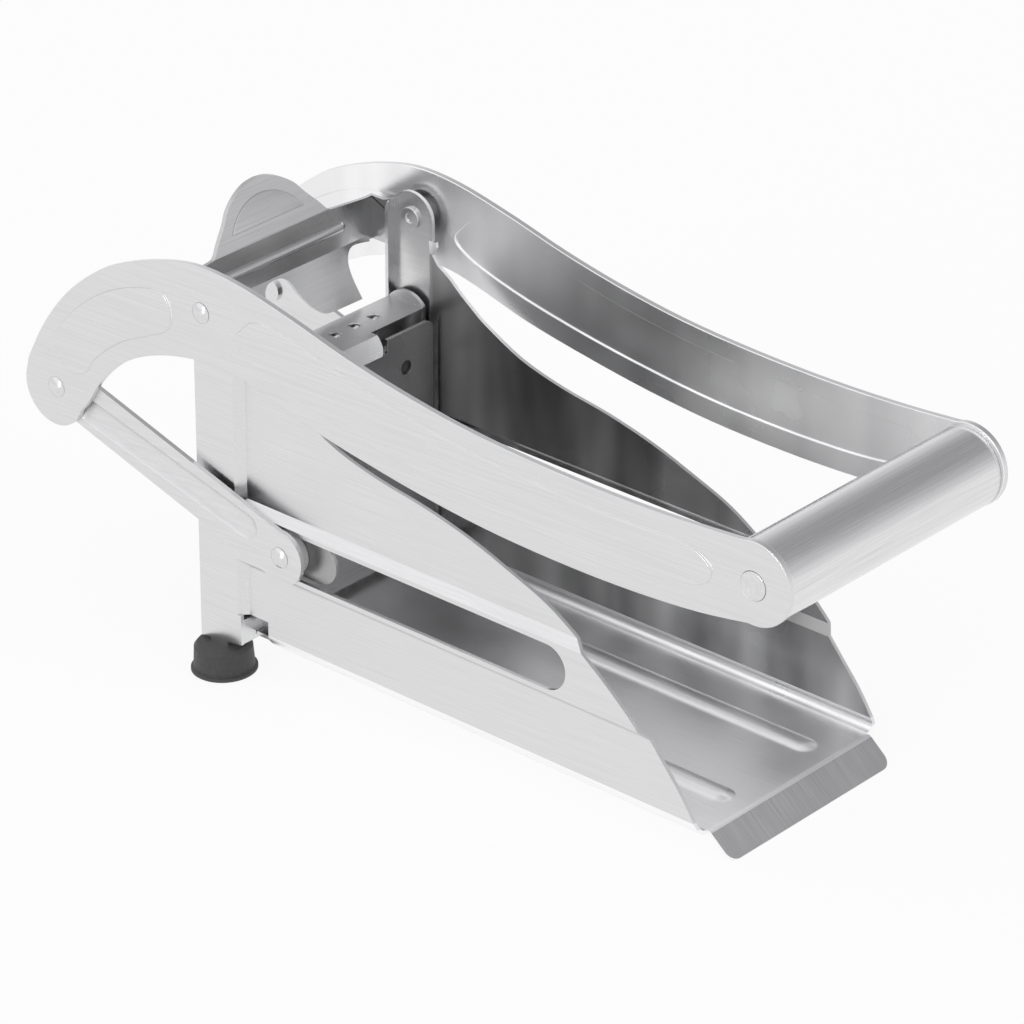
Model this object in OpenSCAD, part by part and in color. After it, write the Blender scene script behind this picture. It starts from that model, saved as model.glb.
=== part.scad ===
// Hand-lever cutter that presses a potato through a square blade grid.
// Drawn with the handle pressed down. Inside the modules, x is measured from
// the lever pivot towards the front lip, y from the middle plane and z from
// the underside of the tray. stance() then stands the whole cutter on its two
// rear feet and its front lip. Tables of shares hold the points of an outline
// as parts of the size named beside them.

/* [Body] */
// Thickness of the body sheet
sheet = 1.2; // [0.9:0.1:1.5]
// Width over the side walls at the recessed level
body_w = 80.8; // [70:0.2:90]
// Length of the tray from the lever pivot to its front fold
body_l = 184; // [165:1:205]
// How far the pressed-out band and the uprights stand proud of the wall
proud = 2.6; // [2.2:0.1:3.4]
// Height of the pressed-out band above and below the slot
band_rim = 1.4; // [1:0.1:2.4]
// Height of the slot in each side wall
slot_h = 14.4; // [12:0.2:16]
// Outer radius of the bend between the tray floor and a side wall
fold_r = 4.4; // [3:0.1:6]
// Length of the front lip along its slope
lip_l = 10.3; // [7:0.1:14]
// Slope of the front lip below level, in degrees
lip_slope = 40; // [25:5:55]
// Inner radius of the bend in front of the tray floor
bend_r = 2; // [1.2:0.1:3]
// Height of the two long ribs on the tray floor
rib_h = 1.2; // [0.6:0.1:1.8]
// Width of each rib
rib_w = 9; // [6:0.5:12]

/* [Uprights and feet] */
// Height of the lever pivot above the tray's underside
pivot_h = 107; // [100:0.2:120]
// Width of each upright and leg
upright_w = 16.6; // [14:0.2:20]
// How far the rear edge of an upright turns inwards
rear_lip = 4; // [3.6:0.1:6]
// How far the legs reach below the tray
leg_drop = 3; // [2:0.2:6]
// Height of the notch between a leg and the wall
notch_h = 8.8; // [7:0.2:11]
// Length of the notch
notch_l = 8.7; // [6:0.1:12]
// Diameter of a rubber foot at its bottom rim
foot_d = 20.2; // [17:0.2:24]
// Height of a rubber foot
foot_h = 9.4; // [7:0.2:13]

/* [Lever] */
// Distance from the pivot to the handle, which the arms scale with
lever_reach = 204; // [185:1:220]
// Thickness of the arm plate
arm_t = 2; // [1.5:0.1:2.5]
// How far the pressed panels stand out of the outer face of an arm
panel_d = 0.6; // [0.3:0.1:0.8]
// Radius of the arm's tail end
tail_r = 11.9; // [10:0.1:14]
// Diameter of the handle tube
tube_d = 24; // [20:0.5:28]
// Wall of the handle tube
tube_wall = 1.2; // [0.8:0.1:2]
// Diameter of the rod through the handle
rod_d = 8.6; // [6:0.2:10]
// Thickness of the plug in each end of the tube
plug_t = 5; // [3:0.5:12]

/* [Links] */
// Thickness of a link
link_t = 1.5; // [1.2:0.1:2]
// Width of a link
link_w = 16.6; // [14:0.2:19]

/* [Rivets] */
// Diameter of the rivet shanks
shank_d = 4; // [3.2:0.2:5]
// Diameter of the rivet heads
head_d = 6.8; // [6:0.2:8]
// Height of the domed heads
head_h = 1.4; // [1:0.1:1.8]
// Height of the rolled and flat inner heads
roll_h = 1; // [0.7:0.1:1.2]

/* [Pusher] */
// Distance from the uprights to the front face of the pusher plate
pusher_stop = 4.1; // [3.6:0.1:6]
// Distance from the pusher plate to its slide rivets
pin_ahead = 15.1; // [12:0.1:18]
// Length of the ear in front of the slide rivet
ear_l = 17.7; // [12:0.1:22]
// Thickness of the pad's base
pad_t = 1.6; // [1.2:0.1:2]

/* [Blade cassette] */
// Number of cells each way
cells = 8; // [5:1:9]
// Width of the border round the grid
rim = 7.1; // [6:0.1:10]
// Thickness of a blade
blade_t = 0.6; // [0.4:0.1:0.8]
// How far the thumb tab reaches in front of the cassette
tab_l = 7.7; // [5:0.1:10]
// How far the thumb tab turns down
tab_drop = 4.8; // [3:0.1:6]

/* [Locking flap] */
// Plate thickness of the flap
flap_t = 1.2; // [0.9:0.1:1.5]
// Distance from the uprights back to the flap's bridge
flap_gap = 9.7; // [8:0.1:13]

/* [Fits] */
// Radial play of a bore that turns on a rivet
play = 0.05; // [0.03:0.01:0.08]
// Gap between flat pieces that turn side by side
side_gap = 0.1; // [0.08:0.01:0.2]
// Gap round a piece that slides in a slot or a channel
run_gap = 0.2; // [0.15:0.05:0.3]

/* [Hidden] */
$fn = 48;
// Overrun of a cut, sink of one solid of a piece into the next, and a size beyond all others
over = sheet;
sink = 0.01 * sheet;
big = 3 * body_l;

// Levels across the width, from the middle plane outwards
wall_out = body_w / 2;
wall_in = wall_out - sheet;
proud_out = wall_out + proud;
proud_in = proud_out - sheet;
flap_in = proud_out + side_gap;
flap_out = flap_in + flap_t;
link_in = flap_out + side_gap;
link_out = link_in + link_t;
arm_in = link_out + side_gap;
arm_out = arm_in + arm_t;
// The ear runs in the hollow of the band, the cassette between the rivets' inner ends
ear_out = proud_in - sheet;
ear_in = ear_out - sheet;
cassette_gap = 0.5;
cassette_half = proud_in - roll_h - cassette_gap;

// Pins of the linkage
up_r = upright_w / 2;
pivot = [0, pivot_h];
tail = pivot + lever_reach * [-0.3025, -0.2142];
tail_end = pivot + lever_reach * [-0.3088, -0.2186];
handle = pivot + lever_reach * [1.0045, -0.077];
arm_end = pivot + lever_reach * [1.0059, -0.0735];
arm_over_tube = 0.6;
arm_end_r = tube_d / 2 + arm_over_tube;
pusher_x = up_r + pusher_stop;
slot_z_share = 0.3388;
pin = [pusher_x + pin_ahead, slot_z_share * pivot_h];
pin_far_share = 0.695;
pin_far = pin_far_share * body_l;
bush_gap = 0.3;

// Side walls
band_half = slot_h / 2 + band_rim;
band_low = pin[1] - band_half;
band_high = pin[1] + band_half;
ear_gap = 0.7;
ear_r = band_half - sheet - ear_gap;
jog_x = up_r - proud / 2;
shoulder_z = pivot_h - upright_w / 3;
wall_edge_shares = [[0.069, 0.895], [0.0924, 0.8704], [0.1196, 0.832], [0.1467, 0.798],
    [0.174, 0.7675], [0.25, 0.7047], [0.337, 0.6664], [0.435, 0.6393], [0.527, 0.6019],
    [0.609, 0.5551], [0.685, 0.5047], [0.75, 0.4374], [0.815, 0.3561], [0.87, 0.2738],
    [0.918, 0.1794], [0.957, 0.0991], [0.9945, 0]];
notch_cut_share = 0.28;

// Tray
rib_y_share = 0.23;
rib_rear_share = 0.17;
rib_front_share = 0.935;
floor_gap = 0.2;
lip_corner = 3.6;
flat_half = wall_out - fold_r;
fold_share = 0.9895;
bend_x = fold_share * body_l - bend_r * tan(lip_slope / 2);
lip_flat = lip_l - bend_r * tan(lip_slope / 2);

// Feet and stance
foot_x = -0.06 * upright_w;
foot_in = 0.8;
foot_y = proud_in - foot_in;
foot_clear = 0.7;
tab_half_w = 0.21 * upright_w;
foot_low = -leg_drop - foot_clear - foot_h;
lip_tip = [bend_x + bend_r * sin(lip_slope) + lip_flat * cos(lip_slope),
    bend_r * cos(lip_slope) - bend_r - lip_flat * sin(lip_slope)];
tilt = atan2(lip_tip[1] - foot_low, lip_tip[0] - foot_x);
lift = lip_tip[0] * sin(tilt) - lip_tip[1] * cos(tilt);
x_low = tail_end[0] * cos(tilt) + tail_end[1] * sin(tilt) - tail_r;
x_high = arm_end[0] * cos(tilt) + arm_end[1] * sin(tilt) + arm_end_r;
shift = -(x_low + x_high) / 2;

// Arms, as shares of the reach measured from the pivot
arm_upper_shares = [[-0.3613, -0.188], [-0.3515, -0.1667], [-0.3275, -0.123],
    [-0.298, -0.0815], [-0.264, -0.044], [-0.222, -0.009], [-0.176, 0.02],
    [-0.098, 0.051], [-0.015, 0.07], [0.069, 0.067], [0.172, 0.046], [0.275, 0.02],
    [0.382, -0.001], [0.5, -0.017], [0.627, -0.025], [0.765, -0.027], [0.892, -0.0225]];
arm_lower_shares = [[0.912, -0.149], [0.804, -0.158], [0.686, -0.161], [0.559, -0.158],
    [0.441, -0.148], [0.324, -0.132], [0.206, -0.111], [0.108, -0.085], [0.039, -0.074],
    [-0.039, -0.082], [-0.108, -0.102], [-0.162, -0.131], [-0.206, -0.173],
    [-0.238, -0.2205]];
front_panel_shares = [[0.078, -0.003], [0.108, 0.0195], [0.172, 0.015], [0.275, -0.0095],
    [0.382, -0.0305], [0.5, -0.046], [0.627, -0.0545], [0.765, -0.0565], [0.882, -0.053],
    [0.922, -0.064], [0.936, -0.083], [0.922, -0.103], [0.882, -0.1145], [0.804, -0.1235],
    [0.686, -0.127], [0.559, -0.124], [0.441, -0.1135], [0.324, -0.098], [0.206, -0.0765],
    [0.118, -0.053], [0.078, -0.035], [0.066, -0.0195]];
tail_panel_shares = [[-0.302, -0.1445], [-0.294, -0.118], [-0.25, -0.069], [-0.1945, -0.028],
    [-0.132, -0.0005], [-0.078, 0.009], [-0.061, -0.013], [-0.064, -0.0445],
    [-0.099, -0.0655], [-0.163, -0.097], [-0.2185, -0.142], [-0.237, -0.1685],
    [-0.27, -0.177]];
rod_out = 0.3;
dimple_r = 9;
dimple_d = 0.5;

// Blade cassette, square as seen from the front
base_gap = 0.05;
channel_gap = run_gap;
cassette_d = upright_w - 2 * sheet - 2 * channel_gap;
cassette_top = 2 * cassette_half - sheet / 3;
face_in = 0.5;
face_x = cassette_d / 2 - face_in - sheet;
blade_gap = 0.2;
blade_w = 2 * (face_x - blade_gap);
window = 2 * (cassette_half - rim);
pitch = window / cells;
grid_z = cassette_top / 2;
blades = [for (i = [1 : cells - 1]) (i - cells / 2) * pitch];
hole_w = 0.39 * pitch;
end_w = 0.34 * pitch;
end_h = 0.7;
lap_gap = 0.05;
bevel = 1.4;
arch_r = 0.635 * cassette_d;
arch_h = 3.5;
tab_half = 0.4 * cassette_half;
tab_r = 7;

// Pusher
pusher_gap = 1.7;
pusher_half = wall_in - pusher_gap;
pusher_lift = 1.2;
pusher_low = sheet + rib_h + pusher_lift;
pusher_top = cassette_top - sheet;
tab_room = 1.3;
pusher_r = 3;
stud_w = 0.7 * pitch;
stud_gap = 0.6;
pad_half = window / 2 - stud_gap;
pad_x = pusher_x - sheet - pad_t;
stud_l = pad_x - cassette_d / 2 - stud_gap;
mount_d = 4.6;
rivet_d = 3;
rivet_y = [-1.5 * pitch, 1.5 * pitch];
rivet_z = [grid_z - 2 * pitch, grid_z + 2 * pitch];

// Locking flap, as shares of its half width and of its drop below the pivot
tongue_gap = 0.2;
tongue_x = -up_r - tongue_gap;
tongue_clear = 3.7;
flap_back = up_r + flap_gap;
flap_drop = pivot_h - cassette_top - tongue_clear;
thumb_x = -1.37 * flap_back;
bridge_shares = [0.925, -0.542, 0.068];
thumb_shares = [[0, 0.85], [0.11, 0.825], [0.22, 0.74], [0.32, 0.61], [0.386, 0.463],
    [0.4786, 0.286], [0.546, 0.15], [0.62, 0.118], [0.925, 0.068]];
tongue_shares = [[0.925, -0.542], [0.76, -0.511], [0.675, -0.62], [0.643, -0.81],
    [0.643, -1.07]];
arch_shares = [[0.384, -1.066], [0.287, -1.045], [0.217, -0.956], [0.1625, -0.789],
    [0.126, -0.608], [0.1, -0.55], [0.06, -0.51], [0, -0.498]];
bead_r = 1.8;
bead_share = 0.66;
bead_z_share = -0.185;
ear_knee_share = 0.66;
lug_r = 7;

// One smooth stretch of an edge between its second and third point
function stretch(a, b, c, d, u) = 0.5 * (2 * b + (c - a) * u
    + (2 * a - 5 * b + 4 * c - d) * u * u + (3 * b - a - 3 * c + d) * u * u * u);
// A smooth edge through all points, in four steps per stretch
function smooth(p) = [for (i = [0 : len(p) - 2]) for (k = [0 : 3])
    stretch(p[max(i - 1, 0)], p[i], p[i + 1], p[min(i + 2, len(p) - 1)], k / 4),
    p[len(p) - 1]];
// The same round a closed outline
function ring(p) = let(n = len(p)) [for (i = [0 : n - 1]) for (k = [0 : 3])
    stretch(p[(i + n - 1) % n], p[i], p[(i + 1) % n], p[(i + 2) % n], k / 4)];
// Points of an arm, and a point on the arm's tail end at an angle
function on_arm(shares) = [for (s = shares) pivot + lever_reach * s];
function on_tail(a) = tail_end + 0.95 * tail_r * [cos(a), sin(a)];
function on_flap(shares, side) = [for (s = shares)
    [side * s[0] * flap_out, pivot_h + s[1] * flap_drop]];

module stance() {
    translate([shift, 0, lift]) rotate([0, tilt, 0]) children();
}

// Draws a side piece on the left, +y, or mirrored on the right
module on(side) {
    if (side > 0) children(); else mirror([0, 1, 0]) children();
}

// Extrudes an outline drawn in x and z from y = a to y = b
module across(a, b) {
    translate([0, b, 0]) rotate([90, 0, 0]) linear_extrude(b - a) children();
}

// Round bar along y from y = a to y = b at a point of the side view
module bar(p, d, a, b) {
    translate([p[0], b, p[1]]) rotate([90, 0, 0]) cylinder(d = d, h = b - a);
}

// Domed rivet head on the plane y = a, rising outwards
module dome(p, a) {
    ball = (head_d * head_d / 4 + head_h * head_h) / (2 * head_h);
    translate([p[0], a, p[1]]) rotate([-90, 0, 0]) intersection() {
        translate([0, 0, head_h - ball]) sphere(r = ball);
        cylinder(d = head_d, h = head_h);
    }
}

// Side view of the front part of a wall, with the small shoulder under the upright's head
module wall_2d() {
    rear = jog_x - sheet;
    notch_x = up_r + notch_l;
    cut = notch_cut_share * notch_l;
    shoulder_shares = [[1.27, -0.51], [1.3, -0.4], [1.16, -0.335], [1, -0.32]];
    edge = smooth([for (s = wall_edge_shares) [s[0] * body_l, s[1] * pivot_h]]);
    polygon(concat([[rear, notch_h], [notch_x, notch_h], [notch_x, cut], [notch_x + cut, 0]],
        [for (i = [len(edge) - 1 : -1 : 0]) edge[i]],
        [for (s = shoulder_shares) [s[0] * up_r, pivot_h + s[1] * upright_w]],
        [[rear, pivot_h - 0.32 * upright_w]]));
}

// Side view of an upright with its leg
module upright_2d() {
    polygon([[-up_r, -leg_drop - 0.02 * upright_w], [up_r, -leg_drop + 0.11 * upright_w],
        [up_r, pivot_h], [-up_r, pivot_h]]);
}

// Tab of the leg that the rubber foot is pushed onto
module foot_tab_2d(extra) {
    long = foot_h / 2;
    translate([foot_x - tab_half_w, -leg_drop - long])
        square([2 * tab_half_w, long + extra + 0.11 * upright_w]);
}

// Space outside the recessed levels of a wall, above and below the band. Its
// sides slope at 45 degrees, and inset moves it inwards through the sheet.
module recesses(inset) {
    low = wall_out - inset;
    high = proud_out - inset;
    notch_mid = up_r + notch_l / 2;
    intersection() {
        union() {
            translate([0, 0, notch_h]) linear_extrude(big) polygon([[jog_x + proud, low],
                [jog_x, high], [jog_x, high + over], [big, high + over], [big, low]]);
            translate([notch_mid, low, -over]) cube([big, big, notch_h + over + sink]);
        }
        rotate([90, 0, 90]) linear_extrude(big) {
            polygon([[low, band_high + proud], [high, band_high], [high + over, band_high],
                [high + over, shoulder_z], [high, shoulder_z], [low, shoulder_z - proud]]);
            polygon([[low, -over], [low, band_low - proud], [high, band_low],
                [high + over, band_low], [high + over, -over]]);
        }
    }
}

module slot_2d() {
    rear = pin[0] - bush_gap;
    translate([rear, pin[1]]) circle(d = slot_h);
    translate([pin_far, pin[1]]) circle(d = slot_h);
    translate([rear, pin[1] - slot_h / 2]) square([pin_far - rear, slot_h]);
}

module side_wall() {
    tab_long = foot_h / 2;
    difference() {
        union() {
            // front part, pressed to its three levels
            difference() {
                across(wall_in, proud_out) wall_2d();
                difference() {
                    across(wall_in - over, proud_in) wall_2d();
                    recesses(sheet);
                }
            }
            // upright with its round head and its leg
            across(proud_in, proud_out) upright_2d();
            bar(pivot, 2 * up_r, proud_in, proud_out);
            across(proud_in, proud_out) foot_tab_2d(0);
            // rear edge of the upright, turned inwards and run out round its head
            translate([-up_r, proud_out - rear_lip, -leg_drop])
                cube([sheet, rear_lip - sink, pivot_h + leg_drop]);
            difference() {
                bar(pivot, 2 * up_r, proud_out - rear_lip, proud_out - sink);
                bar(pivot, 2 * (up_r - sheet), proud_out - big, proud_out + over);
                translate([-big, -big, -big]) cube([2 * big, 2 * big, big + pivot_h]);
                translate([-up_r, proud_in, pivot_h + 0.78 * up_r])
                    rotate([atan2(rear_lip, up_r / 2), 0, 0])
                        translate([-big / 2, -big, 0]) cube([big, 2 * big, big]);
                translate([-(cassette_d + channel_gap) / 2, -big, -big])
                    cube([big, 2 * big, 3 * big]);
            }
        }
        recesses(0);
        // the bend below belongs to the tray floor
        translate([up_r + notch_l / 2, wall_in - over, -over])
            cube([big, proud + sheet + 2 * over, fold_r + over]);
        // slot for the pusher's bushes
        across(wall_in - over, proud_out + over) slot_2d();
        // bore for the pivot rivet
        bar(pivot, shank_d, wall_in - over, proud_out + over);
    }
}

// Outline of the front lip, x along its slope
module lip_2d() {
    half = flat_half;
    back = 2 * (bend_r + sheet);
    translate([-back, -half - over])
        square([lip_flat - lip_corner + back, 2 * (half + over)]);
    translate([lip_flat - lip_corner - sink, -half + lip_corner])
        square([lip_corner + sink, 2 * (half - lip_corner)]);
    for (y = [-half + lip_corner, half - lip_corner])
        translate([lip_flat - lip_corner, y]) circle(r = lip_corner);
}

// Long raised rib with round ends on the tray floor
module rib(y) {
    ball = (rib_w * rib_w / 4 + rib_h * rib_h) / (2 * rib_h);
    from = rib_rear_share * body_l;
    to = rib_front_share * body_l;
    low = sheet + rib_h - ball;
    intersection() {
        union() {
            translate([from, y, low]) rotate([0, 90, 0]) cylinder(r = ball, h = to - from);
            for (x = [from, to]) translate([x, y, low]) sphere(r = ball);
        }
        translate([0, -big / 2, sheet / 2]) cube([big, big, big]);
    }
}

// Cross-section of the tray floor with the bends up to the walls, y and z
module trough_2d() {
    turn = [for (k = [0 : 12]) 7.5 * k];
    back = [for (k = [12 : -1 : 0]) 7.5 * k];
    r = fold_r - sheet;
    out = [for (a = turn) [flat_half + fold_r * sin(a), fold_r * (1 - cos(a))]];
    in = [for (a = back) [flat_half + r * sin(a), sheet + r * (1 - cos(a))]];
    half = concat(out, in);
    last = len(half) - 1;
    polygon(concat(half, [for (i = [last : -1 : 0]) [-half[i][0], half[i][1]]]));
}

// Side view of the tray floor's front edge and of the lip bent down from it
module fold_2d() {
    turn = [for (k = [0 : 6]) k * lip_slope / 6];
    back = [for (k = [6 : -1 : 0]) k * lip_slope / 6];
    r = bend_r + sheet;
    tip = lip_flat * [cos(lip_slope), -sin(lip_slope)];
    under = [for (a = turn) [bend_x + bend_r * sin(a), -bend_r * (1 - cos(a))]];
    above = [for (a = back) [bend_x + r * sin(a), sheet - r * (1 - cos(a))]];
    polygon(concat([[bend_x - sheet, 0]], under, [under[6] + tip, above[0] + tip], above,
        [[bend_x - sheet, sheet]]));
}

module tray_floor() {
    rear = up_r + floor_gap;
    flat = flat_half + sheet / 2;
    color("gainsboro") stance() {
        // floor and bends, the bends cut to the outline of the walls
        intersection() {
            translate([rear, 0, 0]) rotate([90, 0, 90]) linear_extrude(bend_x - rear)
                trough_2d();
            union() {
                translate([0, -flat, -over]) cube([big, 2 * flat, fold_r]);
                across(-body_w, body_w) wall_2d();
            }
        }
        for (s = [-1, 1]) rib(s * rib_y_share * body_w);
        intersection() {
            across(-flat_half, flat_half) fold_2d();
            translate([bend_x, 0, -bend_r]) rotate([0, lip_slope, 0])
                translate([0, 0, -big / 2]) linear_extrude(big) lip_2d();
        }
    }
}

module side_left() { color("gainsboro") stance() side_wall(); }
module side_right() { color("gainsboro") stance() on(-1) side_wall(); }

// Cross member under the cassette, welded between the legs
module sill() {
    rear = -up_r + sheet + floor_gap;
    high = 0.8 * notch_h;
    color("silver") stance() {
        translate([rear, -proud_in, -sheet]) cube([up_r - rear, 2 * proud_in, sheet]);
        translate([up_r - sheet, -proud_in, -sheet])
            cube([sheet, 2 * proud_in, high + sheet]);
        for (s = [-1, 1]) on(s) translate([rear, proud_in - sheet, -sheet])
            cube([up_r - rear, sheet, high + sheet]);
    }
}

// Rubber foot, upright on the surface, pushed onto the tab of the leg
module foot(side) {
    x = foot_x * cos(tilt) + foot_low * sin(tilt) + shift;
    r = foot_d / 2;
    color("dimgray") on(side) difference() {
        translate([x, foot_y, 0]) rotate_extrude($fn = 64)
            polygon([[0, 0], [0.94 * r, 0], [r, 0.05 * foot_h], [r, 0.14 * foot_h],
                [0.92 * r, 0.17 * foot_h], [0.88 * r, 0.87 * foot_h],
                [0.78 * r, foot_h], [0, foot_h]]);
        stance() across(proud_in, proud_out) foot_tab_2d(foot_h);
    }
}
module foot_left() { foot(1); }
module foot_right() { foot(-1); }

// Frame of the blade cassette with its window plate and thumb tab
module blade_frame() {
    half = cassette_half;
    deep = cassette_d / 2;
    low = base_gap;
    color("silver") stance() difference() {
        union() {
            translate([-deep, 0, low]) difference() {
                translate([0, -half, 0]) cube([cassette_d, 2 * half, cassette_top - low]);
                translate([-over, -half + sheet, sheet]) cube([cassette_d + 2 * over,
                    2 * (half - sheet), cassette_top - low - 2 * sheet]);
            }
            // window plate round the grid
            difference() {
                translate([face_x, -half, low]) cube([sheet, 2 * half, cassette_top - low]);
                translate([face_x - over, -window / 2, grid_z - window / 2])
                    cube([sheet + 2 * over, window, window]);
            }
            // arched tops of the two side plates
            for (s = [-1, 1]) on(s) across(half - sheet, half) intersection() {
                translate([0, cassette_top + arch_h - arch_r]) circle(r = arch_r);
                translate([-deep, cassette_top - sheet]) square([cassette_d, arch_r]);
            }
            thumb_tab();
        }
        // holes that the blade ends come through
        for (y = blades) translate([-hole_w / 2, y - hole_w / 2, -over])
            cube([hole_w, hole_w, cassette_top + 2 * over]);
        for (z = blades) translate([-hole_w / 2, -half - over, grid_z + z - hole_w / 2])
            cube([hole_w, 2 * (half + over), hole_w]);
    }
}

// Rounded tab on the top flange, turned down at its front
module thumb_tab() {
    from = cassette_d / 2 - sheet;
    knee = cassette_d / 2 + 0.35 * tab_l;
    to = cassette_d / 2 + tab_l;
    top = cassette_top;
    long = to + sheet - from;
    intersection() {
        across(-tab_half, tab_half) polygon([[from, top], [knee, top],
            [to + sheet / 3, top - tab_drop + 0.67 * sheet], [to - sheet / 4, top - tab_drop],
            [knee - sheet / 3, top - sheet], [from, top - sheet]]);
        translate([0, 0, top - 2 * tab_drop]) linear_extrude(3 * tab_drop) {
            translate([from, -tab_half]) square([long - tab_r, 2 * tab_half]);
            translate([from, -tab_half + tab_r]) square([long, 2 * (tab_half - tab_r)]);
            for (y = [-tab_half + tab_r, tab_half - tab_r])
                translate([to + sheet - tab_r, y]) circle(r = tab_r);
        }
    }
}

// One sharpened strip, its edge towards the front, half lapped on one side
module strip(length, lap) {
    half = blade_w / 2;
    difference() {
        linear_extrude(length, center = true) polygon([[-half, -blade_t / 2],
            [half - bevel, -blade_t / 2], [half, 0], [half - bevel, blade_t / 2],
            [-half, blade_t / 2]]);
        for (z = blades) translate([lap > 0 ? 0 : -half - over, -blade_t, z - blade_t / 2
            - lap_gap]) cube([half + over, 2 * blade_t, blade_t + 2 * lap_gap]);
        // the ends narrow to tabs that pass the frame
        for (s = [-1, 1], t = [-1, 1]) translate([t > 0 ? end_w / 2 : -blade_w - end_w / 2,
            -blade_t, s > 0 ? length / 2 - sheet - 2 * lap_gap : -length / 2 - over])
            cube([blade_w, 2 * blade_t, over + sheet + 2 * lap_gap]);
    }
}

module blades_upright() {
    length = cassette_top - 2 * base_gap;
    color("lightgray") stance() for (y = blades) {
        translate([0, y, grid_z]) strip(length, -1);
        // upper end, twisted to hold the blade in its hole
        translate([0, y, cassette_top - sheet / 2]) rotate([0, 0, 38])
            translate([-end_w / 2, -blade_t / 2, 0]) cube([end_w, blade_t, sheet / 2 + end_h]);
    }
}

module blades_level() {
    color("lightgray") stance() for (z = blades) translate([0, 0, grid_z + z])
        rotate([90, 0, 0]) strip(2 * cassette_half, 1);
}

// Front view of the locking flap: thumb piece, bridge and two tongues
module flap_front_2d() {
    half = concat(smooth(thumb_shares), smooth(tongue_shares), smooth(arch_shares));
    last = len(half) - 2;
    polygon(concat(on_flap(half, 1), on_flap([for (i = [last : -1 : 1]) half[i]], -1)));
}

// Side view of the flap plate: tongue, bridge and leaning thumb piece
module flap_side_2d() {
    h = flap_t / 2;
    z_shares = [-1.09, -0.5, 0.122, 0.865, 0.885, 0.144, -0.474, -1.07];
    x = [tongue_x - h, -flap_back - h, -flap_back - h, thumb_x - h, thumb_x + h,
        -flap_back + h, -flap_back + h, tongue_x + h];
    polygon([for (i = [0 : 7]) [x[i], pivot_h + z_shares[i] * flap_drop]]);
}

module flap() {
    rear = -flap_back - flap_t / 2;
    low = pivot_h + bridge_shares[1] * flap_drop;
    high = pivot_h + bridge_shares[2] * flap_drop;
    inner = 0.915 * flap_out;
    bead = bead_share * flap_out;
    color("silver") stance() difference() {
        union() {
            intersection() {
                across(-flap_out, flap_out) flap_side_2d();
                rotate([90, 0, 90]) translate([0, 0, 2 * thumb_x])
                    linear_extrude(-2 * thumb_x) flap_front_2d();
            }
            // long stiffening bead
            translate([-flap_back, 0, pivot_h + bead_z_share * flap_drop]) {
                rotate([90, 0, 0]) cylinder(r = bead_r, h = 2 * bead, center = true);
                for (y = [-bead, bead]) translate([0, y, 0]) sphere(r = bead_r);
            }
            // ears beside the uprights
            for (s = [-1, 1]) on(s) {
                across(flap_in, flap_out) {
                    translate(pivot) circle(r = lug_r);
                    polygon([[rear, low], [rear, high], [ear_knee_share * rear, high],
                        [-lug_r / 3, pivot_h + 0.94 * lug_r],
                        [-lug_r / 2, pivot_h - 0.8 * lug_r], [ear_knee_share * rear, low]]);
                }
                translate([rear, inner, low]) cube([flap_t, flap_out - inner, high - low]);
            }
        }
        for (s = [-1, 1]) on(s) bar(pivot, shank_d + 2 * play, flap_in - over, flap_out + over);
    }
}

// Washers on the pivot rivets between the flap's ears and the arms
module spacers() {
    color("silver") stance() for (s = [-1, 1]) on(s) difference() {
        bar(pivot, 2 * shank_d, flap_out + side_gap / 2, arm_in - side_gap / 2);
        bar(pivot, shank_d, flap_out - over, arm_in + over);
    }
}

// Pivot rivet: dome outside, rolled end inside the upright
module pivot_rivet(side) {
    color("lightgray") stance() on(side) {
        bar(pivot, shank_d, proud_in - roll_h / 2, arm_out + side_gap);
        dome(pivot, arm_out + side_gap / 2);
        difference() {
            bar(pivot, head_d, proud_in - roll_h, proud_in);
            bar(pivot, 0.45 * head_d, proud_in - roll_h - over, proud_in - roll_h / 2);
        }
    }
}
module pivot_rivet_left() { pivot_rivet(1); }
module pivot_rivet_right() { pivot_rivet(-1); }

// Edge of a lever arm between its two round ends, in the side view
module arm_2d() {
    end = [0, 0.97 * arm_end_r];
    polygon(concat(
        smooth(concat([on_tail(172)], on_arm(arm_upper_shares), [arm_end + end])),
        smooth(concat([arm_end - end], on_arm(arm_lower_shares), [on_tail(-27)]))));
}

module arm(side) {
    color("gainsboro") stance() on(side) difference() {
        union() {
            across(arm_in, arm_out) arm_2d();
            bar(arm_end, 2 * arm_end_r, arm_in, arm_out);
            bar(tail_end, 2 * tail_r, arm_in, arm_out);
            // shallow panels, pressed outwards
            across(arm_out - sink, arm_out + panel_d) polygon(ring(on_arm(front_panel_shares)));
            across(arm_out - sink, arm_out + panel_d) polygon(ring(on_arm(tail_panel_shares)));
        }
        across(arm_in - over, arm_in + panel_d) polygon(ring(on_arm(front_panel_shares)));
        across(arm_in - over, arm_in + panel_d) polygon(ring(on_arm(tail_panel_shares)));
        bar(pivot, shank_d + 2 * play, arm_in - over, arm_out + over);
        bar(tail, shank_d, arm_in - over, arm_out + over);
        bar(handle, rod_d, arm_in - over, arm_out + over);
    }
}
module arm_left() { arm(1); }
module arm_right() { arm(-1); }

module handle_tube() {
    color("gainsboro") stance() difference() {
        bar(handle, tube_d, -arm_in, arm_in);
        bar(handle, tube_d - 2 * tube_wall, -arm_in - over, arm_in + over);
    }
}

// Rod through the handle, peened over with a shallow dimple
module handle_rod() {
    color("lightgray") stance() difference() {
        bar(handle, rod_d, -arm_out - rod_out, arm_out + rod_out);
        for (s = [-1, 1]) on(s) translate([handle[0], arm_out + rod_out - dimple_d + dimple_r,
            handle[1]]) sphere(r = dimple_r);
    }
}

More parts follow.
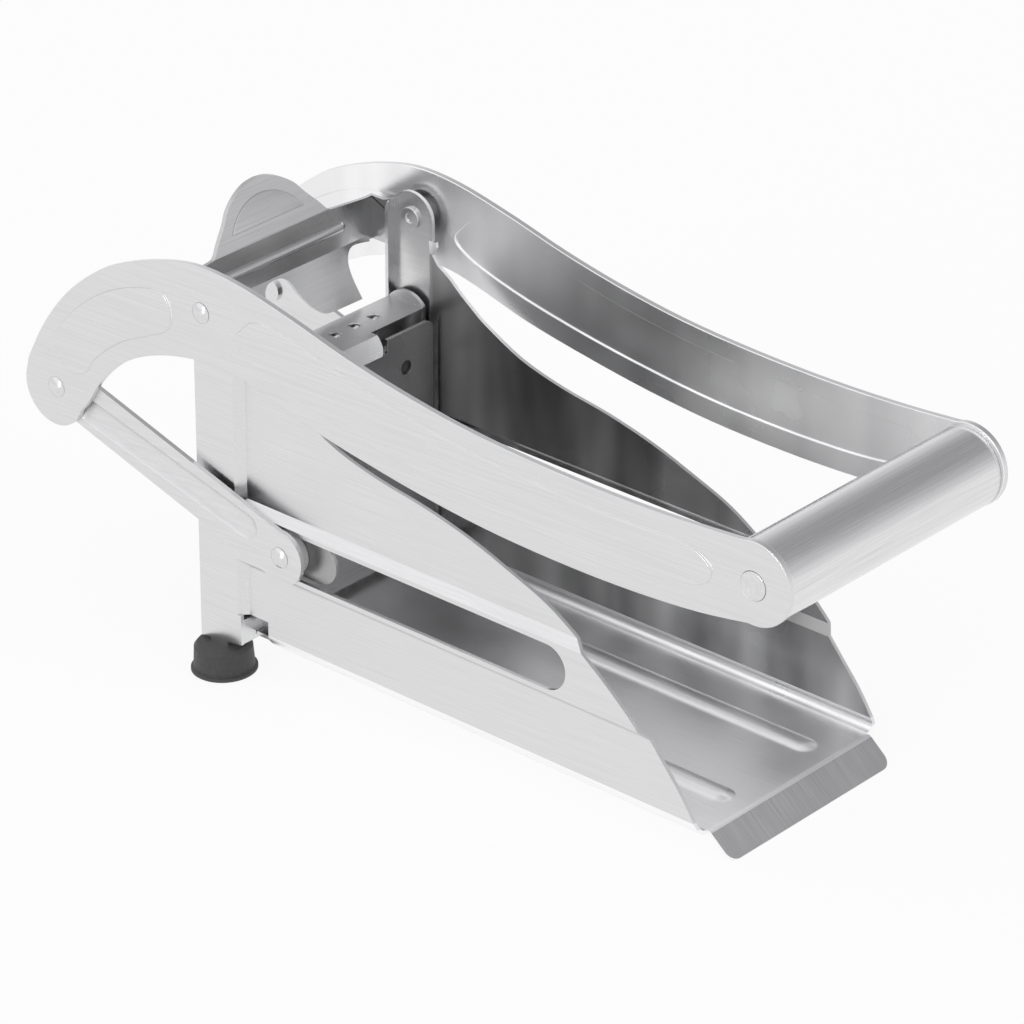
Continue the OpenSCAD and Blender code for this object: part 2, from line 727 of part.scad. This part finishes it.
module handle_plugs() {
    color("dimgray") stance() for (s = [-1, 1]) on(s) difference() {
        bar(handle, tube_d - 2 * tube_wall, arm_in - plug_t, arm_in);
        bar(handle, rod_d, arm_in - plug_t - over, arm_in + over);
    }
}

// Rivet at the tail of the arm, seen from outside
module tail_rivet(side) {
    color("lightgray") stance() on(side) {
        bar(tail, shank_d, arm_in, arm_out + side_gap);
        dome(tail, arm_out);
    }
}
module tail_rivet_left() { tail_rivet(1); }
module tail_rivet_right() { tail_rivet(-1); }

module link(side) {
    reach = norm(pin - tail);
    turn = atan2(pin[1] - tail[1], pin[0] - tail[0]);
    color("gainsboro") stance() on(side) difference() {
        across(link_in, link_out) translate(tail) rotate(turn) {
            circle(d = link_w);
            translate([reach, 0]) circle(d = 1.05 * link_w);
            translate([0, -link_w / 2]) square([reach, link_w]);
        }
        bar(tail, shank_d, link_in - over, link_out + over);
        bar(pin, shank_d + 2 * play, link_in - over, link_out + over);
    }
}
module link_left() { link(1); }
module link_right() { link(-1); }

// Inner half of the tail rivet, flat-headed, in the upper eye of a link
module link_stub(side) {
    color("lightgray") stance() on(side) {
        bar(tail, shank_d, link_in - roll_h, link_out);
        bar(tail, 1.15 * head_d, link_in - roll_h, link_in);
    }
}
module link_stub_left() { link_stub(1); }
module link_stub_right() { link_stub(-1); }

// Plate that carries the pad, with an ear at each side
module pusher_plate() {
    half = pusher_half;
    rear = pusher_x - sheet;
    hole_y = 3.08 * window / 8;
    hole_z = 3.25 * window / 8;
    tab_low = cassette_top - tab_drop - 3 * run_gap;
    color("gray") stance() difference() {
        union() {
            translate([rear, 0, 0]) rotate([90, 0, 90]) linear_extrude(sheet) {
                translate([-half, pusher_low + pusher_r])
                    square([2 * half, pusher_top - pusher_low - 2 * pusher_r]);
                translate([-half + pusher_r, pusher_low])
                    square([2 * (half - pusher_r), pusher_top - pusher_low]);
                for (y = [-half + pusher_r, half - pusher_r],
                    z = [pusher_low + pusher_r, pusher_top - pusher_r])
                    translate([y, z]) circle(r = pusher_r);
                translate([-ear_out, pin[1] - ear_r]) square([2 * ear_out, 2 * ear_r]);
            }
            for (s = [-1, 1]) on(s) across(ear_in, ear_out) {
                translate([pin[0] + ear_l - ear_r, pin[1]]) circle(r = ear_r);
                translate([rear, pin[1] - ear_r])
                    square([pin[0] + ear_l - ear_r - rear, 2 * ear_r]);
            }
        }
        // room for the cassette's thumb tab
        translate([rear - over, -tab_half - tab_room, tab_low])
            cube([sheet + 2 * over, 2 * (tab_half + tab_room), big]);
        for (y = [-hole_y, hole_y], z = [grid_z - hole_z, grid_z + hole_z])
            translate([rear - over, y, z]) rotate([0, 90, 0])
                cylinder(d = mount_d, h = sheet + 2 * over);
        for (y = rivet_y, z = rivet_z) translate([rear - over, y, z])
            rotate([0, 90, 0]) cylinder(d = rivet_d, h = sheet + 2 * over);
        for (s = [-1, 1]) on(s) bar(pin, shank_d, ear_in - over, ear_out + over);
    }
}

// Pad with one square stud for each cell of the grid
module pusher_pad() {
    color("silver") stance() difference() {
        union() {
            translate([pad_x, -pad_half, grid_z - pad_half])
                cube([pad_t, 2 * pad_half, 2 * pad_half]);
            for (i = [0 : cells - 1], k = [0 : cells - 1])
                translate([pad_x - stud_l, (i + 0.5 - cells / 2) * pitch - stud_w / 2,
                    grid_z + (k + 0.5 - cells / 2) * pitch - stud_w / 2])
                    cube([stud_l + pad_t / 2, stud_w, stud_w]);
        }
        for (y = rivet_y, z = rivet_z) translate([pad_x - over, y, z])
            rotate([0, 90, 0]) cylinder(d = rivet_d, h = pad_t + 2 * over);
    }
}

module pad_rivets() {
    color("lightgray") stance() for (y = rivet_y, z = rivet_z) {
        translate([pad_x, y, z]) rotate([0, 90, 0]) cylinder(d = rivet_d, h = sheet + pad_t);
        translate([pusher_x, y, z]) rotate([0, 90, 0])
            cylinder(d1 = 1.8 * rivet_d, d2 = 1.2 * rivet_d, h = rivet_d / 4);
    }
}

// Bush that slides in the slot of the side wall
module bush(side) {
    color("white") stance() on(side) difference() {
        bar(pin, slot_h - 2 * bush_gap, ear_out, link_in - side_gap);
        bar(pin, shank_d, ear_out - over, link_in + over);
    }
}
module bush_left() { bush(1); }
module bush_right() { bush(-1); }

// Rivet through the ear and the bush, on which the lower eye of the link turns
module slide_rivet(side) {
    color("lightgray") stance() on(side) {
        bar(pin, shank_d, ear_in - roll_h, link_out + side_gap);
        bar(pin, 0.9 * head_d, ear_in - roll_h, ear_in);
        dome(pin, link_out + side_gap / 2);
    }
}
module slide_rivet_left() { slide_rivet(1); }
module slide_rivet_right() { slide_rivet(-1); }

tray_floor();
side_left();
side_right();
sill();
foot_left();
foot_right();
blade_frame();
blades_upright();
blades_level();
flap();
spacers();
pivot_rivet_left();
pivot_rivet_right();
arm_left();
arm_right();
handle_tube();
handle_rod();
handle_plugs();
tail_rivet_left();
tail_rivet_right();
link_left();
link_right();
link_stub_left();
link_stub_right();
pusher_plate();
pusher_pad();
pad_rivets();
bush_left();
bush_right();
slide_rivet_left();
slide_rivet_right();
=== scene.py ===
from math import cos, radians, sin

import bmesh
import bpy
from mathutils import Matrix, Vector


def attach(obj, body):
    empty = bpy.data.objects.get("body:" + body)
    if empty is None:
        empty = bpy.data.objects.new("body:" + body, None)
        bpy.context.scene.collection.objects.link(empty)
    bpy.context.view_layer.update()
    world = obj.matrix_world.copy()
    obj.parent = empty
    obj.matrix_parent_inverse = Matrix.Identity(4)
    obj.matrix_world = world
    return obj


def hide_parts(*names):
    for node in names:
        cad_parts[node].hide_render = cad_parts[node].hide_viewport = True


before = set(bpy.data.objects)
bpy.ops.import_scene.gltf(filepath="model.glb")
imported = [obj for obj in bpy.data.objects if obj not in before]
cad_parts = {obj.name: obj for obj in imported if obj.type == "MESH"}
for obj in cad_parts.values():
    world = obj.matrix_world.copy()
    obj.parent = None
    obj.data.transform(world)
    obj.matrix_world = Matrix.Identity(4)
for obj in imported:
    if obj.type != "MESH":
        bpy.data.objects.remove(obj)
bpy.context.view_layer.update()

# The studio: pale paper under a soft white room that is a little darker high up behind the
# cutter, with two soft boxes over it and a narrow strip light at its near side. It is
# photographed from the front right and above, through a long lens.
scene = bpy.context.scene
scene.view_settings.view_transform = "Standard"

aim = Vector((0.00484, 0.0, 0.06109))
azimuth, elevation, roll = radians(42.140), radians(26.177), radians(-1.479)
distance, lens, film = 1.5073, 182.86, 36.0
nearest, farthest = 0.1, 50.0
back = Vector((sin(azimuth) * cos(elevation), -cos(azimuth) * cos(elevation), sin(elevation)))
camera_data = bpy.data.cameras.new("camera")
camera_data.lens, camera_data.sensor_width = lens, film
camera_data.clip_start, camera_data.clip_end = nearest, farthest
camera = bpy.data.objects.new("camera", camera_data)
scene.collection.objects.link(camera)
turn = (-back).to_track_quat("-Z", "Y").to_matrix() @ Matrix.Rotation(roll, 3, "Z")
camera.matrix_world = Matrix.Translation(aim + back * distance) @ turn.to_4x4()
scene.camera = camera

room_white, room_dim = (0.92, 0.92, 0.93, 1), (0.40, 0.40, 0.41, 1)
dimmest_towards = Vector((0.10, 0.68, 0.72)).normalized()
dims_from, dims_to = 0.55, 0.97
room = bpy.data.worlds.new("studio_room")
scene.world = room
room.use_nodes = True
nodes, links = room.node_tree.nodes, room.node_tree.links
nodes.clear()
out = nodes.new("ShaderNodeOutputWorld")
air = nodes.new("ShaderNodeBackground")
white = nodes.new("ShaderNodeBackground")
white.inputs["Color"].default_value = (1, 1, 1, 1)
direction = nodes.new("ShaderNodeTexCoord")
toward = nodes.new("ShaderNodeVectorMath")
toward.operation = "DOT_PRODUCT"
toward.inputs[1].default_value = dimmest_towards
shade = nodes.new("ShaderNodeValToRGB")
shade.color_ramp.elements[0].position = dims_from
shade.color_ramp.elements[0].color = room_white
shade.color_ramp.elements[1].position = dims_to
shade.color_ramp.elements[1].color = room_dim
ray = nodes.new("ShaderNodeLightPath")
pick = nodes.new("ShaderNodeMixShader")
links.new(direction.outputs["Generated"], toward.inputs[0])
links.new(toward.outputs["Value"], shade.inputs["Fac"])
links.new(shade.outputs["Color"], air.inputs["Color"])
links.new(ray.outputs["Is Camera Ray"], pick.inputs["Fac"])
links.new(air.outputs[0], pick.inputs[1])
links.new(white.outputs[0], pick.inputs[2])
links.new(pick.outputs[0], out.inputs["Surface"])

for name, place, wide, high, power in (
    ("soft_box_left", (-0.8, -1.2, 1.5), 2.2, 2.2, 3.0),
    ("soft_box_right", (1.3, 0.3, 1.7), 1.8, 1.8, 4.0),
    ("strip_light", (0.15, -2.2, 0.55), 0.16, 1.8, 9.0),
):
    lamp = bpy.data.lights.new(name, "AREA")
    lamp.shape, lamp.size, lamp.size_y, lamp.energy = "RECTANGLE", wide, high, power
    box = bpy.data.objects.new(name, lamp)
    scene.collection.objects.link(box)
    box.matrix_world = Matrix.Translation(Vector(place)) @ (
        (aim - Vector(place)).to_track_quat("-Z", "Y").to_matrix().to_4x4())

paper_wide, paper_grey, paper_glow = 12.0, (0.86, 0.86, 0.86, 1), 0.9
bpy.ops.object.select_all(action="DESELECT")
bpy.ops.mesh.primitive_plane_add(size=paper_wide, location=(0, 0, 0))
floor = bpy.context.active_object
floor.name = "studio_floor"
paper = bpy.data.materials.new("floor_paper")
paper.use_nodes = True
nodes, links = paper.node_tree.nodes, paper.node_tree.links
nodes.clear()
out = nodes.new("ShaderNodeOutputMaterial")
matt = nodes.new("ShaderNodeBsdfDiffuse")
matt.inputs["Color"].default_value = paper_grey
glow = nodes.new("ShaderNodeEmission")
glow.inputs["Color"].default_value = (1, 1, 1, 1)
ray = nodes.new("ShaderNodeLightPath")
seen = nodes.new("ShaderNodeMath")
seen.operation, seen.use_clamp = "ADD", True
part = nodes.new("ShaderNodeMath")
part.operation = "MULTIPLY"
part.inputs[1].default_value = paper_glow
pick = nodes.new("ShaderNodeMixShader")
links.new(ray.outputs["Is Camera Ray"], seen.inputs[0])
links.new(ray.outputs["Is Glossy Ray"], seen.inputs[1])
links.new(seen.outputs[0], part.inputs[0])
links.new(part.outputs[0], pick.inputs["Fac"])
links.new(matt.outputs[0], pick.inputs[1])
links.new(glow.outputs[0], pick.inputs[2])
links.new(pick.outputs[0], out.inputs["Surface"])
floor.data.materials.append(paper)


# Tray, side walls and sill: stainless sheet, bent up on both sides and pressed out in a band on
# each wall, with a cross member fixed between the legs. It is brushed along its length and
# rougher across the front lip, and its cut edges are polished. In front of the pusher the walls'
# faces that
# look inwards get painted shade: a darker tone with upright patches of painted reflection.
def grained(name, tone, rough, grain, depth=0.2, contrast=0.06, metal=1.0):
    """A finish with fine lines or pores: grain is how fine they are on x, y and z, depth how
    deep they are, and contrast how far they differ from the tone."""
    finish = bpy.data.materials.new(name)
    finish.use_nodes = True
    nodes, links = finish.node_tree.nodes, finish.node_tree.links
    skin = nodes["Principled BSDF"]
    skin.inputs["Metallic"].default_value = metal
    place = nodes.new("ShaderNodeTexCoord")
    stretch = nodes.new("ShaderNodeMapping")
    stretch.inputs["Scale"].default_value = grain
    lines = nodes.new("ShaderNodeTexNoise")
    lines.inputs["Scale"].default_value = 1.0
    lines.inputs["Detail"].default_value = 3.0
    links.new(place.outputs["Object"], stretch.inputs["Vector"])
    links.new(stretch.outputs["Vector"], lines.inputs["Vector"])

    colour = nodes.new("ShaderNodeValToRGB")
    low, high = tone - contrast / 2, tone + contrast / 2
    colour.color_ramp.elements[0].position = 0.3
    colour.color_ramp.elements[0].color = (low, low, low * 1.01, 1)
    colour.color_ramp.elements[1].position = 0.7
    colour.color_ramp.elements[1].color = (high, high, high * 1.005, 1)
    links.new(lines.outputs["Fac"], colour.inputs["Fac"])
    links.new(colour.outputs["Color"], skin.inputs["Base Color"])

    cloud = nodes.new("ShaderNodeTexNoise")
    cloud.inputs["Scale"].default_value = 38.0
    cloud.inputs["Detail"].default_value = 2.0
    polish = nodes.new("ShaderNodeMapRange")
    polish.inputs["From Min"].default_value = 0.3
    polish.inputs["From Max"].default_value = 0.7
    polish.inputs["To Min"].default_value = rough * 0.8
    polish.inputs["To Max"].default_value = rough * 1.2
    links.new(place.outputs["Object"], cloud.inputs["Vector"])
    links.new(cloud.outputs["Fac"], polish.inputs["Value"])
    links.new(polish.outputs["Result"], skin.inputs["Roughness"])

    scratch = nodes.new("ShaderNodeBump")
    scratch.inputs["Strength"].default_value = depth
    scratch.inputs["Distance"].default_value = 0.00005
    links.new(lines.outputs["Fac"], scratch.inputs["Height"])
    links.new(scratch.outputs["Normal"], skin.inputs["Normal"])
    return finish


def paint_inner_shade_and_sheen(steel, tone, reflection_strength, starts=-1.0):
    """Paints a tone with upright patches on the faces that look towards the middle plane, in
    front of
    starts on x: painted shade where tone is darker than the finish, painted sheen where it is
    lighter, and the patches are painted reflection."""
    looks_inwards, fades_over = -0.008, 0.004
    nodes, links = steel.node_tree.nodes, steel.node_tree.links
    skin = nodes["Principled BSDF"]
    bright = skin.inputs["Base Color"].links[0].from_socket
    place = nodes.new("ShaderNodeTexCoord")

    column = nodes.new("ShaderNodeMapping")
    column.inputs["Scale"].default_value = (55.0, 10.0, 9.0)
    reflection_spots = nodes.new("ShaderNodeTexNoise")
    reflection_spots.inputs["Scale"].default_value = 1.0
    reflection_spots.inputs["Detail"].default_value = 1.5
    shade = nodes.new("ShaderNodeValToRGB")
    dim, lit = tone * (1 - reflection_strength), tone * (1 + 2.5 * reflection_strength)
    shade.color_ramp.elements[0].position = 0.38
    shade.color_ramp.elements[0].color = (dim, dim, dim * 1.01, 1)
    shade.color_ramp.elements[1].position = 0.68
    shade.color_ramp.elements[1].color = (lit, lit, lit * 1.005, 1)
    links.new(place.outputs["Object"], column.inputs["Vector"])
    links.new(column.outputs["Vector"], reflection_spots.inputs["Vector"])
    links.new(reflection_spots.outputs["Fac"], shade.inputs["Fac"])

    # a face looks inwards where its place and its normal have opposite signs on y
    where = nodes.new("ShaderNodeSeparateXYZ")
    facing = nodes.new("ShaderNodeSeparateXYZ")
    outward = nodes.new("ShaderNodeMath")
    outward.operation = "MULTIPLY"
    inner = nodes.new("ShaderNodeMath")
    inner.operation = "LESS_THAN"
    inner.inputs[1].default_value = looks_inwards
    links.new(place.outputs["Object"], where.inputs[0])
    links.new(place.outputs["Normal"], facing.inputs[0])
    links.new(where.outputs["Y"], outward.inputs[0])
    links.new(facing.outputs["Y"], outward.inputs[1])
    links.new(outward.outputs[0], inner.inputs[0])

    ahead = nodes.new("ShaderNodeMapRange")
    ahead.inputs["From Min"].default_value = starts
    ahead.inputs["From Max"].default_value = starts + fades_over
    share = nodes.new("ShaderNodeMath")
    share.operation = "MULTIPLY"
    both = nodes.new("ShaderNodeMix")
    both.data_type = "RGBA"
    links.new(where.outputs["X"], ahead.inputs["Value"])
    links.new(inner.outputs[0], share.inputs[0])
    links.new(ahead.outputs["Result"], share.inputs[1])
    links.new(share.outputs[0], both.inputs["Factor"])
    links.new(bright, both.inputs["A"])
    links.new(shade.outputs["Color"], both.inputs["B"])
    links.new(both.outputs["Result"], skin.inputs["Base Color"])


def dressed(node, body, finish, edge, steps=2, fold=0.0, carve=None):
    """The CAD node's own shape in its finish, with its edges rounded by edge and the 45 degree
    bends of a pressed sheet by fold. carve presses a form into it first."""
    same_point, same_plane = 0.000002, radians(0.5)
    sharp_from, smooth_below = radians(30.0), radians(35.0)
    bend_from, bend_to = 0.6, 0.95
    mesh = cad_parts[node].data.copy()
    piece = bpy.data.objects.new(node + "_dressed", mesh)
    scene.collection.objects.link(piece)
    mesh.materials.clear()
    mesh.materials.append(finish)
    bpy.ops.object.select_all(action="DESELECT")
    piece.select_set(True)
    bpy.context.view_layer.objects.active = piece
    bpy.ops.object.mode_set(mode="EDIT")
    bpy.ops.mesh.select_all(action="SELECT")
    bpy.ops.mesh.remove_doubles(threshold=same_point)
    bpy.ops.mesh.dissolve_limited(angle_limit=same_plane)
    bpy.ops.object.mode_set(mode="OBJECT")
    if carve:
        carve(piece)
    if fold:
        shape = bmesh.new()
        shape.from_mesh(mesh)
        weight = shape.edges.layers.float.new("bevel_weight_edge")
        for line in shape.edges:
            if len(line.link_faces) == 2 and bend_from < line.calc_face_angle(0.0) < bend_to:
                line[weight] = 1.0
        shape.to_mesh(mesh)
        shape.free()
        bends = piece.modifiers.new("bends", "BEVEL")
        bends.width, bends.segments, bends.limit_method = fold, 4, "WEIGHT"
        bpy.ops.object.modifier_apply(modifier="bends")
    if edge:
        rounding = piece.modifiers.new("edge", "BEVEL")
        rounding.width, rounding.segments, rounding.limit_method = edge, steps, "ANGLE"
        rounding.angle_limit = sharp_from
        rounding.use_clamp_overlap = True
        bpy.ops.object.modifier_apply(modifier="edge")
    bpy.ops.object.shade_smooth_by_angle(angle=smooth_below)
    flats = piece.modifiers.new("flats", "WEIGHTED_NORMAL")
    flats.keep_sharp = True
    bpy.ops.object.modifier_apply(modifier="flats")
    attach(piece, body)
    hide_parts(node)
    return piece


cut_edge, wall_bend = 0.0003, 0.0011
lengthwise = (35.0, 2400.0, 2400.0)
sheet_steel = grained("brushed_sheet_painted_shade", 0.73, 0.30, lengthwise)
# painted shade: the walls' inward faces darker, with upright patches of painted reflection
paint_inner_shade_and_sheen(sheet_steel, 0.36, 0.3, starts=-0.064)
for node in ("side_left", "side_right"):
    dressed(node, "body", sheet_steel, cut_edge, fold=wall_bend)
dressed("sill", "body", sheet_steel, cut_edge)
tray_steel = grained("brushed_tray", 0.97, 0.34, lengthwise)
tray = dressed("tray_floor", "body", tray_steel, cut_edge)

lip_lines, lip_begins = (60.0, 3200.0, 60.0), 0.104
lip_least_x, lip_least_z = 0.55, 0.6
lip_steel = grained("brushed_lip", 0.58, 0.34, lip_lines, depth=0.25, contrast=0.14)
tray.data.materials.append(lip_steel)
for face in tray.data.polygons:
    slopes = face.normal.x > lip_least_x and face.normal.z > lip_least_z
    if slopes and face.center.x > lip_begins:
        face.material_index = 1

# Feet: two cups moulded in matt black rubber with fine pores, pushed on the tabs of the rear
# uprights' legs. Nothing else holds them.
foot_edge = 0.0006
rubber = bpy.data.materials.new("black_rubber")
rubber.use_nodes = True
nodes, links = rubber.node_tree.nodes, rubber.node_tree.links
skin = nodes["Principled BSDF"]
skin.inputs["Roughness"].default_value = 0.55
place = nodes.new("ShaderNodeTexCoord")
dust = nodes.new("ShaderNodeTexNoise")
dust.inputs["Scale"].default_value = 900.0
tint = nodes.new("ShaderNodeValToRGB")
tint.color_ramp.elements[0].color = (0.035, 0.035, 0.036, 1)
tint.color_ramp.elements[1].color = (0.060, 0.060, 0.062, 1)
pores = nodes.new("ShaderNodeBump")
pores.inputs["Strength"].default_value = 0.15
pores.inputs["Distance"].default_value = 0.0001
links.new(place.outputs["Object"], dust.inputs["Vector"])
links.new(dust.outputs["Fac"], tint.inputs["Fac"])
links.new(tint.outputs["Color"], skin.inputs["Base Color"])
links.new(dust.outputs["Fac"], pores.inputs["Height"])
links.new(pores.outputs["Normal"], skin.inputs["Normal"])
for node in ("foot_left", "foot_right"):
    dressed(node, "body", rubber, foot_edge, steps=3)

# Pivot rivets and spacers: turned steel pins with domed heads that carry the arms and the
# flap, rolled over on the walls' inner faces. The spacers are plain steel rings on them.
rivet_edge, turned = 0.0002, (900.0, 900.0, 900.0)
rivet_steel = grained("turned_steel", 0.72, 0.22, turned, depth=0.08)
for node in ("pivot_rivet_left", "pivot_rivet_right", "spacers"):
    dressed(node, "body", rivet_steel, rivet_edge)

# Blade cassette: a folded steel box frame with two crossed rows of thin ground blades, half
# lapped and held in its slots. It stands between the walls and lifts out upwards.
crosswise, ground = (2400.0, 35.0, 2400.0), (2600.0, 60.0, 60.0)
cassette_steel = grained("cassette_sheet", 0.64, 0.30, crosswise)
blade_steel = grained("blade_strip", 0.74, 0.20, ground, depth=0.1)
dressed("blade_frame", "cassette", cassette_steel, cut_edge)
dressed("blades_upright", "cassette", blade_steel, 0.0)
dressed("blades_level", "cassette", blade_steel, 0.0)

# Locking flap: a steel sheet pressed with a long bead and bent into two ears, which hinge on
# the pivot rivets behind the cassette.
flap_steel = grained("flap_sheet", 0.54, 0.24, crosswise)
flap = dressed("flap", "flap", flap_steel, cut_edge)

# Half-moon: a shallow form with a straight base, pressed out of the front of the flap's round
# thumb piece, in the same steel sheet.
moon_radius, moon_sides, moon_edge, moon_smooth = 0.0174, 96, 0.0003, radians(60.0)
moon_rise, moon_sunk = 0.0004, 0.0001
base_from_centre, base_height, thumb_from = 0.0088, 0.1281, 0.120
bpy.ops.object.select_all(action="DESELECT")
bpy.ops.mesh.primitive_circle_add(vertices=moon_sides, radius=moon_radius, fill_type="NGON")
moon = bpy.context.active_object
moon.name = "flap_half_moon"
bpy.ops.object.mode_set(mode="EDIT")
bpy.ops.mesh.select_all(action="SELECT")
bpy.ops.mesh.bisect(plane_co=(base_from_centre, 0, 0), plane_no=(1, 0, 0), use_fill=False,
                    clear_inner=True)
bpy.ops.mesh.select_all(action="SELECT")
bpy.ops.mesh.extrude_region_move(TRANSFORM_OT_translate={"value": (0, 0, moon_rise)})
bpy.ops.mesh.select_all(action="SELECT")
bpy.ops.mesh.normals_make_consistent(inside=False)
bpy.ops.object.mode_set(mode="OBJECT")
soft = moon.modifiers.new("soft", "BEVEL")
soft.width, soft.segments, soft.limit_method = moon_edge, 3, "ANGLE"
bpy.ops.object.modifier_apply(modifier="soft")
bpy.ops.object.shade_smooth_by_angle(angle=moon_smooth)
thumb = max((face for face in flap.data.polygons if face.normal.x > 0.8
             and face.normal.z > 0.2 and face.center.z > thumb_from),
            key=lambda face: face.area)
outwards = thumb.normal.normalized()
upwards = outwards.cross(Vector((0, 1, 0))).normalized()
centre = Vector((thumb.center.x, 0, thumb.center.z))
centre += upwards * ((base_height - centre.z) / upwards.z - base_from_centre)
lean = Matrix((upwards, Vector((0, -1, 0)), outwards)).transposed()
moon.data.transform(Matrix.Translation(centre - outwards * moon_sunk) @ lean.to_4x4())
moon.data.materials.append(flap_steel)
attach(moon, "flap")

# Lever arms: two long arms cut from thicker steel sheet and pressed with raised panels,
# brushed lengthwise. They turn on the pivot rivets outside the walls.
arm_edge, panel_bend = 0.0005, 0.0008
arm_steel = grained("brushed_arm_painted_sheen", 0.73, 0.30, lengthwise)
# painted sheen: the arms' inward faces lighter than their outer faces, with faint patches of
# painted reflection
paint_inner_shade_and_sheen(arm_steel, 0.90, 0.04)
for node in ("arm_left", "arm_right"):
    dressed(node, "lever", arm_steel, arm_edge, steps=3, fold=panel_bend)

# Handle: a brushed steel tube between the arms' ends, closed by two black plastic plugs. A
# steel rod runs through it and is riveted over outside the arms.
tube_edge, rod_edge = 0.0004, 0.0003
around, moulded = (3600.0, 40.0, 3600.0), (600.0, 600.0, 600.0)
tube_steel = grained("brushed_tube", 0.74, 0.20, around, contrast=0.12)
dressed("handle_tube", "lever", tube_steel, tube_edge, steps=3)
dressed("handle_rod", "lever", rivet_steel, rod_edge)
plug = grained("plug_plastic", 0.05, 0.5, moulded, depth=0.1, contrast=0.02, metal=0.0)
dressed("handle_plugs", "lever", plug, rivet_edge)

# Links and their rivets: two steel strips, each pressed with a long trough, through which the
# arms' tails pull the pusher. A tail rivet is in two halves, one in the arm and one in the
# link, and a slide rivet holds each link to the pusher.
link_edge, link_lines = 0.0004, (60.0, 2400.0, 1300.0)
trough_radius, trough_depth = 0.0085, 0.0012
trough_from_tail, trough_from_pin = 0.0200, 0.0225
link_steel = grained("brushed_link", 0.73, 0.30, link_lines)


def trough(link):
    """Presses the long trough into the outer face of a link."""
    side = 1 if link.name.startswith("link_left") else -1
    corners = [v.co for v in link.data.vertices]
    face = max(v.y * side for v in corners) * side
    tail_end = min(corners, key=lambda v: v.x)
    pin_end = max(corners, key=lambda v: v.x)
    along = Vector((pin_end.x - tail_end.x, 0, pin_end.z - tail_end.z)).normalized()
    start = Vector((tail_end.x, 0, tail_end.z)) + along * trough_from_tail
    finish = Vector((pin_end.x, 0, pin_end.z)) - along * trough_from_pin
    start.y = finish.y = face + side * (trough_radius - trough_depth)
    bpy.ops.object.select_all(action="DESELECT")
    bpy.ops.mesh.primitive_uv_sphere_add(segments=64, ring_count=32, radius=trough_radius)
    punch = bpy.context.active_object
    long = (finish - start).length
    for v in punch.data.vertices:
        v.co.z += long if v.co.z > 1e-6 else 0.0
    punch.data.transform(Matrix.Translation(start) @ along.to_track_quat("Z", "Y")
                         .to_matrix().to_4x4())
    bpy.ops.object.select_all(action="DESELECT")
    link.select_set(True)
    bpy.context.view_layer.objects.active = link
    press = link.modifiers.new("press", "BOOLEAN")
    press.object, press.operation, press.solver = punch, "DIFFERENCE", "EXACT"
    bpy.ops.object.modifier_apply(modifier="press")
    bpy.data.objects.remove(punch)


for side in ("left", "right"):
    dressed("tail_rivet_" + side, "lever", rivet_steel, rivet_edge)
    dressed("link_" + side, side + "_link", link_steel, link_edge, steps=3,
            carve=trough)
    dressed("link_stub_" + side, side + "_link", rivet_steel, 0.0)
    dressed("slide_rivet_" + side, "pusher", rivet_steel, rivet_edge)

# Pusher plate: duller steel sheet, folded into two ears that the slide rivets go through. It
# slides between the walls and pushes the potato through the blades.
pusher_steel = grained("pusher_sheet", 0.40, 0.3, crosswise)
dressed("pusher_plate", "pusher", pusher_steel, cut_edge)

# Pusher pad: black plastic moulded with square studs, on the plate's face towards the blades,
# where small steel rivets hold it.
pored = (500.0, 500.0, 500.0)
pad = grained("pad_plastic", 0.05, 0.45, pored, depth=0.1, contrast=0.02, metal=0.0)
dressed("pusher_pad", "pusher", pad, 0.0)
dressed("pad_rivets", "pusher", rivet_steel, 0.0)

# Bushes: two rings of pale plastic, moulded and pushed on the slide rivets, which run in the
# slots of the walls.
bush = grained("bush_plastic", 0.55, 0.45, pored, depth=0.1, contrast=0.02, metal=0.0)
for side in ("left", "right"):
    dressed("bush_" + side, "pusher", bush, cut_edge)
